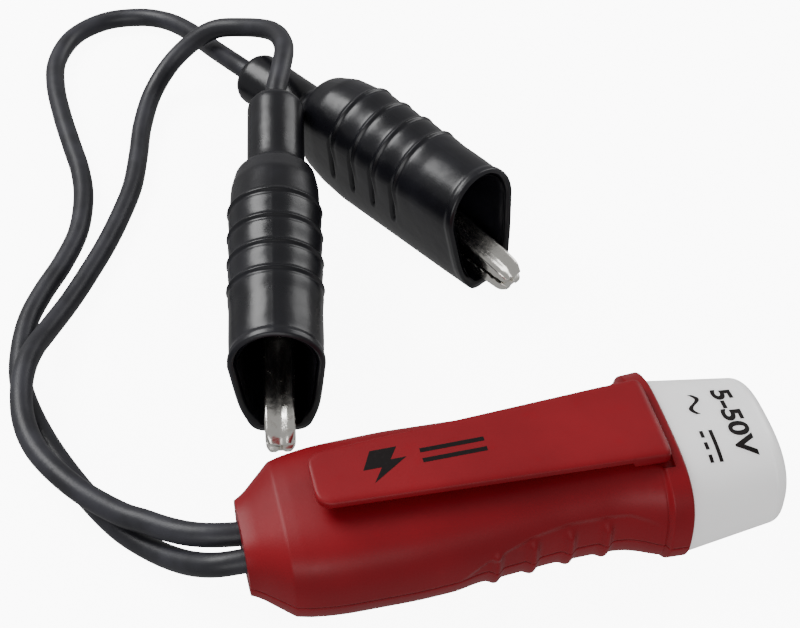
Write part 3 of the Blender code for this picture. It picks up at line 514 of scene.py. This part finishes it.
# ---------------------------------------------------------------- body shells
# Two shells of satin red plastic, moulded and welded along a seam below the middle. The
# rear end is faceted down to a small face. Behind the collar both sides are hollowed for
# the fingers, with four upright ribs across the seam.

REAR_X = -32.6
COLLAR_X = 19.2
SEAM_Z = 6.0
SEAM_GAP = 0.035
SEAM_FADE = 0.3
SEAM_GROOVE = 0.09
SEAM_GROOVE_HALF = 0.12
SHELL_WALL = 1.1
FACET_X = -27.9
UPPER_POWER = 3.2
LOWER_POWER = 2.7
LOWER_LEAN = 0.09
HOLLOW_DEPTH = 0.5
RIBS = 4
RIB_BEHIND_COLLAR = 9.7
RIB_PITCH = 4.55
RIB_STAND = 0.66
RIB_HALF = 0.62
STEP_X = 16.2
STEP_GROOVE = 0.14
RIM_ROUND = 0.35
POCKET_FLOOR = 15.0
POCKET_HALF = 6.4
REAR_RINGS = np.array([0.004, 0.5, 0.94, 0.985])


def body_section(x):
    """Half width, top and underside of the body at x, read from a table by straight lines and
    averaged, less so at the rear facet's edge and on the collar."""
    places = [REAR_X, FACET_X, -25.9, -22.6, -13.6, -3.6, 3.6, 11.0, 13.7, 16.35, 16.7, COLLAR_X]
    free = smoothstep(np.abs(x - FACET_X), 0.4, 3.0) * (1 - smoothstep(x, 12.5, 15.5))
    blur = 1.6 * free + 0.1
    half = eased(x, places, [5.1, 9.3, 9.85, 10.3, 10.5, 10.0, 9.35, 9.3, 9.95, 11.05, 11.65,
                             11.8], blur)
    top = eased(x, places, [11.2, 14.0, 14.25, 14.5, 14.6, 14.6, 14.65, 14.85, 15.1, 15.5, 15.9,
                            15.95], blur)
    low = eased(x, places, [2.6, 0.0, -0.3] + 9 * [-0.38], blur)
    return half, top, low


def shell_skin(x, angle):
    """A superellipse section carried along the body, cut flat at the base and leaning in below
    the seam. Below the grip's upper edge the sides sink, and bell-shaped ribs stand in the
    hollow. Fine grooves follow the seam and the collar's step, the collar's rim is rounded, and
    the clip's pocket is let into the top."""
    half, top, low = body_section(x)
    power = np.where(np.sin(angle) >= 0, UPPER_POWER, LOWER_POWER)
    across = np.sign(np.cos(angle)) * np.abs(np.cos(angle)) ** (2 / power)
    rise = np.abs(np.sin(angle)) ** (2 / power)
    z = np.where(np.sin(angle) >= 0, SEAM_Z + (top - SEAM_Z) * rise,
                 SEAM_Z - (SEAM_Z - low) * rise)
    z = np.maximum(z, 0.0)
    y = half * across * (1 - LOWER_LEAN * np.clip((SEAM_Z - z) / SEAM_Z, 0, 1))
    edge = np.interp(x, [-9.0, -5.0, 0.0, 5.0, 12.0, 15.6], [6.5, 9.2, 11.0, 11.6, 11.4, 10.4])
    zone = smoothstep(x, -9.5, -5.5) * (1 - smoothstep(x, 12.0, 16.3))
    sunk = zone * (1 - smoothstep(z, edge - 1.3, edge)) * smoothstep(z, 0.3, 1.8)
    grip = -HOLLOW_DEPTH * sunk
    upright = smoothstep(z, 0.6, 2.4) * (1 - smoothstep(z, 8.6, 10.4))
    for number in range(RIBS):
        away = x - (COLLAR_X - RIB_BEHIND_COLLAR - RIB_PITCH * number)
        grip = grip + RIB_STAND * np.exp(-(np.abs(away) / RIB_HALF) ** 2.3) * upright
    seam = -SEAM_GROOVE * np.exp(-(np.abs(z - SEAM_Z) / SEAM_GROOVE_HALF)) * (np.abs(across) > 0.9)
    step = -STEP_GROOVE * np.exp(-((x - STEP_X) / 0.10) ** 2) * np.where(z > POCKET_FLOOR, 0.0, 1.0)
    rim = -RIM_ROUND * smoothstep(x, COLLAR_X - 0.35, COLLAR_X + 0.02) ** 2
    y = y + np.sign(across) * np.abs(across) ** 2 * (grip + seam + step + rim)
    z = z + np.where(z > SEAM_Z, 1, 0) * rise ** 2 * rim
    pocket = smoothstep(x, 12.85, 12.95) * (1 - smoothstep(x, 17.8, 17.9))
    z = z - pocket * (np.abs(y) < POCKET_HALF) * np.maximum(z - POCKET_FLOOR, 0.0)
    return np.stack([x, y, z], axis=-1) * MM


def red_paint():
    """Satin red plastic: a fine spark-eroded grain, faint flow clouds, and shiny rubbed spots."""
    paint = Paint("red_plastic", (0.215, 0.004, 0.009), 0.4, Specular_IOR_Level=0.25)
    cloud = paint.noise(70.0, 4.0)
    grain = paint.noise(5200.0, 2.0)
    rub = paint.noise(420.0, 5.0)
    tone = paint.mix(cloud.step(0.3, 0.75), shade_of(paint.color, 0.9), shade_of(paint.color, 1.12))
    worn = paint.mix(rub.step(0.6, 0.85) * 0.35, tone, shade_of(paint.color, 1.35))
    paint.feed("Base Color", worn)
    paint.feed("Roughness", 0.36 + 0.1 * cloud + 0.06 * grain - 0.08 * rub.step(0.55, 0.8))
    paint.relief(0.35 * grain + 0.5 * rub, 0.00004, 0.6)
    return paint.material


def seam_opened(grid, side):
    """Moves points off the seam, up for side 1 and down for side -1, by the seam's gap times a
    falling exponential of their distance from it."""
    away = np.abs(grid[..., 2] - SEAM_Z * MM)
    grid[..., 2] = grid[..., 2] + side * SEAM_GAP * MM * np.exp(-away / (SEAM_FADE * MM))
    return grid


red = red_paint()
shell_x = np.concatenate([np.linspace(REAR_X, -24.0, 46), np.linspace(-23.6, -8.0, 28),
                          np.linspace(-7.8, 12.2, 134), np.linspace(12.3, COLLAR_X, 80)])
# Columns crowd towards the seam, at both ends of each shell's half turn.
SEAM_CROWDING = 0.12
share = np.linspace(0, 1, 164)
share = share - SEAM_CROWDING * np.sin(2 * np.pi * share)
rear_middle = np.array([REAR_X, 0, SEAM_Z]) * MM
for name, node, start, side in (("red_upper_shell", "upper_housing", 0.0, 1),
                                ("red_lower_shell", "lower_housing", np.pi, -1)):
    grid = shell_skin(*np.meshgrid(shell_x, start + np.pi * share, indexing="ij"))
    grid = seam_opened(grid, side)
    rear = rear_middle + (grid[:1] - rear_middle) * REAR_RINGS[:, None, None]
    shell = skin(name, np.concatenate([rear, grid]), red, closed_around=False)
    walled(shell, SHELL_WALL)
    shell.data.set_sharp_from_angle(angle=math.radians(50))
    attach(shell, "tester")
    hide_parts(node)


# ---------------------------------------------------------------- pocket clip
# A tapered red clip, moulded separately and pressed by its foot into the upper shell's
# pocket. Its edges are softly rounded. A plain lightning bolt and two bars are printed on
# its top in black.

CLIP_TIP_X = -23.9
CLIP_ROOT_X = 17.6
CLIP_UNDER = 16.0
CLIP_TOP = 17.4
CLIP_TIP_HALF = 3.9
CLIP_WIDENING = 2.2
CLIP_CORNER = 0.42
CLIP_CROWN = 0.06
FOOT_DEPTH = 0.7
INK_STAND = 0.015
INK_STRIP = 0.35
FIRST_STRIP = 0.17


def clip_skin(x, angle):
    """A rectangle with rounded corners and a faintly crowned top, carried along the clip and
    widening to the root. Its width and thickness shrink along quarter circles at the tip and
    the root, and its underside drops by the foot's depth near the root."""
    travel = (x - CLIP_TIP_X) / (CLIP_ROOT_X - CLIP_TIP_X)
    nose = np.clip((x - CLIP_TIP_X) / 1.9, 0, 1)
    nose = np.sqrt(1 - (1 - nose) ** 2)
    tail = np.clip((CLIP_ROOT_X - x) / 0.9, 0, 1)
    tail = np.sqrt(1 - (1 - tail) ** 2)
    half = (CLIP_TIP_HALF + CLIP_WIDENING * travel) - 1.7 * (1 - nose) - 0.7 * (1 - tail)
    thin = np.clip((x - CLIP_TIP_X) / 0.5, 0, 1)
    thin = np.sqrt(1 - (1 - thin) ** 2) * 0.85 + 0.15
    top = CLIP_TOP - 0.25 * (1 - thin) - 0.45 * (1 - tail)
    low = CLIP_UNDER + 0.5 * (1 - thin) - smoothstep(x, 12.9, 13.25) * FOOT_DEPTH
    middle, reach = (top + low) / 2, (top - low) / 2
    turn_y, turn_z = np.cos(angle), np.sin(angle)
    square_y = np.sign(turn_y) * np.abs(turn_y) ** (1 / 7)
    square_z = np.sign(turn_z) * np.abs(turn_z) ** (1 / 7)
    y = square_y * (half - CLIP_CORNER) + CLIP_CORNER * turn_y
    z = square_z * (reach - CLIP_CORNER) + CLIP_CORNER * turn_z
    crown = CLIP_CROWN * (1 - (y / half) ** 2) * (turn_z > 0)
    return np.stack([x, y, middle + z + crown], axis=-1) * MM


clip_x = np.concatenate([CLIP_TIP_X + 0.001 + 2.2 * np.linspace(0, 1, 30) ** 2,
                         np.linspace(-21.5, 12.6, 90), np.linspace(12.8, 16.6, 40),
                         CLIP_ROOT_X - 0.95 * np.linspace(1, 0, 26) ** 2])
around = np.linspace(0, 2 * np.pi, 160, endpoint=False)
grid = clip_skin(*np.meshgrid(clip_x, around, indexing="ij"))
clip = skin("red_pocket_clip", grid, red, caps=(True, True))
clip.data.set_sharp_from_angle(angle=math.radians(60))
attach(clip, "clip")
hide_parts("pocket_clip")


def ink_paint():
    """Pad-printed black-brown ink, thinner and glossier in specks."""
    paint = Paint("printing_ink", (0.006, 0.004, 0.004), 0.55, Specular_IOR_Level=0.15)
    specks = paint.noise(2400.0, 3.0)
    thin = shade_of(paint.color, 2.2)
    paint.feed("Base Color", paint.mix(specks.step(0.55, 0.8), paint.color, thin))
    paint.feed("Roughness", 0.42 + 0.2 * specks)
    return paint.material


def printed(name, flat, lay, body):
    """Cuts a flat mesh into narrow strips both ways, so that it can bend, and lays its points on a
    surface. lay turns flat millimetre points into metre points on the surface."""
    cut = bmesh.new()
    cut.from_mesh(flat)
    for axis in (0, 1):
        spread = [vertex.co[axis] for vertex in cut.verts]
        for level in np.arange(min(spread) + FIRST_STRIP, max(spread), INK_STRIP):
            normal = (1, 0, 0) if axis == 0 else (0, 1, 0)
            point = tuple(level * value for value in normal)
            whole = cut.verts[:] + cut.edges[:] + cut.faces[:]
            bmesh.ops.bisect_plane(cut, geom=whole, plane_co=point, plane_no=normal)
    bmesh.ops.triangulate(cut, faces=cut.faces[:])
    cut.to_mesh(flat)
    cut.free()
    points = np.empty(len(flat.vertices) * 3)
    flat.vertices.foreach_get("co", points)
    flat.vertices.foreach_set("co", lay(points.reshape(-1, 3)[:, :2]).ravel())
    flat.update()
    flat.materials.clear()
    flat.materials.append(ink)
    piece = bpy.data.objects.new(name, flat)
    bpy.context.scene.collection.objects.link(piece)
    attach(piece, body)
    return piece


def flat_shapes(name, outlines):
    """A flat mesh of filled outlines, each a list of millimetre corners."""
    mesh = bpy.data.meshes.new(name)
    points, faces = [], []
    for outline in outlines:
        faces.append(list(range(len(points), len(points) + len(outline))))
        points += [(x, y, 0.0) for x, y in outline]
    mesh.from_pydata(points, [], faces)
    return mesh


def on_clip(flat):
    """Lays flat points on the clip's crowned top, the ink's stand above it."""
    x, y = flat.T
    half = CLIP_TIP_HALF + CLIP_WIDENING * (x - CLIP_TIP_X) / (CLIP_ROOT_X - CLIP_TIP_X)
    z = CLIP_TOP + CLIP_CROWN * (1 - (y / half) ** 2) + INK_STAND
    return np.column_stack([x, y, z]) * MM


ink = ink_paint()
bolt = [(-16.6, 2.3), (-13.4, 2.3), (-14.5, 0.55), (-12.6, 0.55), (-17.0, -2.4), (-15.7, -0.35),
        (-17.9, -0.35)]
bars = [[(-10.9, y), (-10.9, y - 0.62), (-3.2, y - 0.62), (-3.2, y)] for y in (1.35, -0.15)]
printed("clip_mark", flat_shapes("clip_mark", [bolt] + bars), on_clip, "clip")


# ---------------------------------------------------------------- lens
# A milky cap of translucent plastic over the indicator lamps, hollow, pushed into the
# collar and welded. Its rating is printed across the top in dark ink.

LENS_END_X = 32.6
LENS_AT_COLLAR = (11.1, 15.3, 0.5)
LENS_AT_END = (9.2, 13.8, 1.1)
LENS_POWER = 2.7
LENS_ROUND = 2.0
LENS_WALL = 1.2
LENS_INK_STAND = 0.03
STROKE_FATTENING = 0.034


def lens_outline(x):
    """Half width, top and underside of the lens at x, along straight lines from the collar."""
    share = (x - COLLAR_X) / (LENS_END_X - COLLAR_X)
    return [first + (last - first) * share for first, last in zip(LENS_AT_COLLAR, LENS_AT_END)]


def lens_skin(x, angle, inset):
    """A superellipse that narrows to the front, drawn in by inset for the rounded end."""
    half, top, low = lens_outline(x)
    half, top, low = half - inset, top - inset, low + inset
    across = np.sign(np.cos(angle)) * np.abs(np.cos(angle)) ** (2 / LENS_POWER)
    rise = np.sign(np.sin(angle)) * np.abs(np.sin(angle)) ** (2 / LENS_POWER)
    z = np.where(rise >= 0, SEAM_Z + (top - SEAM_Z) * rise, SEAM_Z + (SEAM_Z - low) * rise)
    return np.stack([x, half * across, z], axis=-1) * MM


def milky_paint():
    """Milky plastic: light scatters inside it, with faint flow streaks, a smooth skin and a faint
    painted glow.
    """
    # Painted glow: a faint, even white emission makes the lens lighter, as if lit through, though
    # it is no lamp.
    paint = Paint("milky_plastic", (0.86, 0.86, 0.86), 0.3, Subsurface_Weight=0.7,
                  Subsurface_Radius=(1.0, 0.97, 0.94), Subsurface_Scale=0.003,
                  Emission_Color=(1.0, 0.98, 0.97, 1.0), Emission_Strength=0.3)
    cloud = paint.noise(90.0, 3.0)
    streak = paint.noise(1.0, 3.0, place=paint.stretched((60.0, 420.0, 420.0)))
    paint.feed("Base Color", paint.mix(cloud, (0.83, 0.83, 0.84, 1.0), (0.90, 0.90, 0.895, 1.0)))
    paint.feed("Roughness", 0.22 + 0.12 * streak)
    paint.relief(streak + 0.2 * paint.noise(2600.0), 0.00005, 0.4)
    return paint.material


milky = milky_paint()
bend = np.linspace(0, np.pi / 2, 18)
lens_x = np.concatenate([[17.0, 17.4], np.linspace(18.0, 30.6, 60),
                         LENS_END_X - LENS_ROUND + LENS_ROUND * np.sin(bend)])
inset = np.concatenate([[1.2, 0.75], np.full(60, 0.0), LENS_ROUND * (1 - np.cos(bend))])
around = np.linspace(0, 2 * np.pi, 220, endpoint=False)
grid = lens_skin(*np.meshgrid(lens_x, around, indexing="ij"), inset[:, None])
face_rings = np.array([0.85, 0.5, 0.02])
face_middle = np.array([LENS_END_X, 0, (LENS_AT_END[1] + LENS_AT_END[2]) / 2]) * MM
face = face_middle + (grid[-1:] - face_middle) * face_rings[:, None, None]
lens = skin("milky_lens", np.concatenate([grid, face]), milky, caps=(False, True))
walled(lens, LENS_WALL)
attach(lens, "tester")
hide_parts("lens")


def on_lens(flat):
    """Lays flat points on the top of the lens, the ink's stand above it. The height is the
    superellipse's: the share of height and the share of width, each to its power, sum to 1."""
    x, y = flat.T
    half, top, _ = lens_outline(x)
    across = np.abs(np.clip(y / half, -0.999, 0.999))
    z = SEAM_Z + (top - SEAM_Z) * (1 - across ** LENS_POWER) ** (1 / LENS_POWER)
    return np.column_stack([x, y, z + LENS_INK_STAND]) * MM


def lettering(name, text, height, width):
    """Plain sans lettering with slightly fattened strokes, as a flat mesh stretched to a width
    and height in millimetres."""
    curve = bpy.data.curves.new(name, "FONT")
    curve.body = text
    curve.resolution_u = 6
    curve.offset = STROKE_FATTENING
    source = bpy.data.objects.new(name, curve)
    bpy.context.scene.collection.objects.link(source)
    mesh = bpy.data.meshes.new_from_object(source)
    bpy.data.objects.remove(source)
    points = np.empty(len(mesh.vertices) * 3)
    mesh.vertices.foreach_get("co", points)
    points = points.reshape(-1, 3)
    low, high = points.min(axis=0), points.max(axis=0)
    share = (points - low) / np.maximum(high - low, 1e-9)
    flat = np.column_stack([share[:, 0] * width, share[:, 1] * height, np.zeros(len(points))])
    mesh.vertices.foreach_set("co", flat.ravel())
    return mesh


def across_lens(start_x, start_y):
    """Lettering that starts at a point on the lens and reads from the far side to the near side."""
    return lambda flat: on_lens(np.column_stack([start_x + flat[:, 1], start_y - flat[:, 0]]))


RATING_HEIGHT, RATING_WIDTH = 2.65, 10.4
WAVE_LENGTH, WAVE_RISE, WAVE_HALF = 3.3, 0.66, 0.3
wave_share = np.linspace(0, 1, 25)
wave_middle = np.column_stack([wave_share * WAVE_LENGTH,
                               WAVE_RISE * np.sin(2 * np.pi * wave_share)])
wave = np.vstack([wave_middle + (0, WAVE_HALF), wave_middle[::-1] - (0, WAVE_HALF)]) + (0, 0.6)
dashes = [[(s, -0.24), (s + 1.0, -0.24), (s + 1.0, 0.24), (s, 0.24)] for s in (0.0, 1.65, 3.3)]
line = [[(0.0, 0.95), (4.3, 0.95), (4.3, 1.45), (0.0, 1.45)]]
rating = lettering("rating", "5-50V", RATING_HEIGHT, RATING_WIDTH)
alternating = flat_shapes("wave", [wave.tolist()])
direct = flat_shapes("direct", dashes + line)
printed("rating", rating, across_lens(26.35, 4.5), "tester")
printed("alternating_sign", alternating, across_lens(23.0, 4.0), "tester")
printed("direct_sign", direct, across_lens(22.8, -1.9), "tester")


# ---------------------------------------------------------------- electronics
# A small circuit board stands on four posts in the lower shell and carries the rectifier,
# the regulator, two resistors and the two lamps that shine into the lens.

def speckled(name, color, roughness, scale, contrast, **fixed):
    """A finish whose colour and shine vary in specks of one size."""
    paint = Paint(name, color, roughness, **fixed)
    specks = paint.noise(scale, 3.0)
    dark, light = shade_of(color, 1 - contrast), shade_of(color, 1 + contrast)
    paint.feed("Base Color", paint.mix(specks, dark, light))
    paint.feed("Roughness", roughness - 0.08 + 0.16 * specks)
    paint.relief(specks, 0.00004, 0.5)
    return paint.material


finishes = {
    "circuit_board": speckled("board_laminate", (0.03, 0.2, 0.08), 0.5, 1800.0, 0.25),
    "bridge_rectifier": speckled("rectifier_epoxy", (0.02, 0.02, 0.02), 0.5, 2600.0, 0.4),
    "regulator_transistor": speckled("transistor_epoxy", (0.025, 0.025, 0.025), 0.5, 2600.0, 0.4),
    "resistor_1": speckled("resistor_lacquer_1", (0.55, 0.42, 0.28), 0.45, 1500.0, 0.15),
    "resistor_2": speckled("resistor_lacquer_2", (0.55, 0.42, 0.28), 0.45, 1500.0, 0.15),
    "led_1": speckled("led_red", (0.6, 0.03, 0.03), 0.15, 900.0, 0.1),
    "led_2": speckled("led_amber", (0.7, 0.3, 0.03), 0.15, 900.0, 0.1),
    "board_wire_a": copper,
    "board_wire_b": copper,
}
for node, finish in finishes.items():
    NODES[node].data.materials[0] = finish


# ---------------------------------------------------------------- table and light
# A plain white table under soft studio light: a broad panel above and behind on the left,
# weaker ones on the right and in front, and a white room.

def white_paint():
    """Matt white sheet with the faintest tooth."""
    paint = Paint("white_table", (0.93, 0.93, 0.93), 0.9, Specular_IOR_Level=0.1,
                  Emission_Color=(1.0, 1.0, 1.0, 1.0), Emission_Strength=9.0)
    tooth = paint.noise(60.0, 2.0)
    low, high = (0.925, 0.925, 0.925, 1.0), (0.935, 0.935, 0.935, 1.0)
    paint.feed("Base Color", paint.mix(tooth, low, high))
    return paint.material


TABLE_REACH = 30.0
TABLE_DROP = 0.00002
reach = np.linspace(-TABLE_REACH, TABLE_REACH, 3)
ground_x, ground_y = np.meshgrid(reach, reach, indexing="ij")
ground = np.stack([ground_x, ground_y, np.full((3, 3), -TABLE_DROP)], axis=-1)
table = skin("table", ground, white_paint(), closed_around=False, flip=True)
table.visible_diffuse = False
table.visible_glossy = False


def panel(name, place, target, size, power):
    """A soft rectangular light at a place, facing a target."""
    light = bpy.data.lights.new(name, "AREA")
    light.shape = "RECTANGLE"
    light.size, light.size_y = size
    light.energy = power
    lamp = bpy.data.objects.new(name, light)
    away = np.array(place) - np.array(target)
    lamp.location = place
    flat = math.hypot(away[0], away[1])
    lamp.rotation_euler = (math.atan2(flat, away[2]), 0, math.atan2(away[0], -away[1]))
    bpy.context.scene.collection.objects.link(lamp)


panel("key_panel", (-0.42, 0.42, 0.62), (0, 0.04, 0), (0.5, 0.4), 7.0)
panel("side_panel", (0.6, 0.35, 0.35), (0, 0.04, 0), (0.3, 0.5), 2.0)
panel("front_panel", (-0.25, -0.6, 0.32), (0, 0.03, 0), (0.6, 0.3), 2.0)
world = bpy.data.worlds.new("studio")
world.use_nodes = True
world.node_tree.nodes["Background"].inputs["Color"].default_value = (1.0, 1.0, 1.0, 1.0)
world.node_tree.nodes["Background"].inputs["Strength"].default_value = 0.4
bpy.context.scene.world = world
